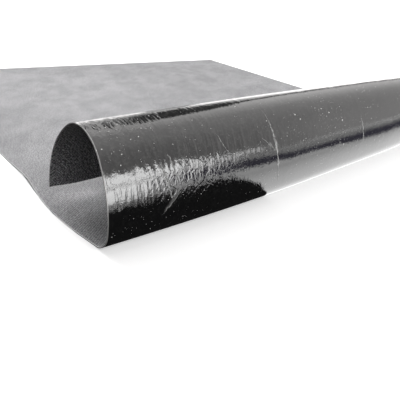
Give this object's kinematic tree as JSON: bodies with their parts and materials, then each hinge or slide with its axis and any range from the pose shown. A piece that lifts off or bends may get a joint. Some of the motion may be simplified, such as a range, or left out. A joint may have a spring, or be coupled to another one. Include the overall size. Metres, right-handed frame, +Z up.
{
  "type": "roofing felt roll",
  "caption": "Length of roofing felt with a grey fleece face and a glossy black film-backed underside, flat at one end and curled back over itself into an open roll.",
  "frame": {"origin": "bottom centre of the whole, on the floor", "axes": "+X along the sheet from the flat tail towards the roll, +Y along the roll's axis, +Z up"},
  "size_m": [0.9131, 1, 0.1449],
  "materials": {
    "fleece": "matt grey non-woven, point bonded",
    "bitumen": "black, satin",
    "film": "glossy, finely wrinkled, black from the bitumen behind it"
  },
  "bodies": {
    "root": {"fleece_facing": "fleece", "bitumen_sheet": "bitumen", "release_film": "film"}
  },
  "joints": []
}
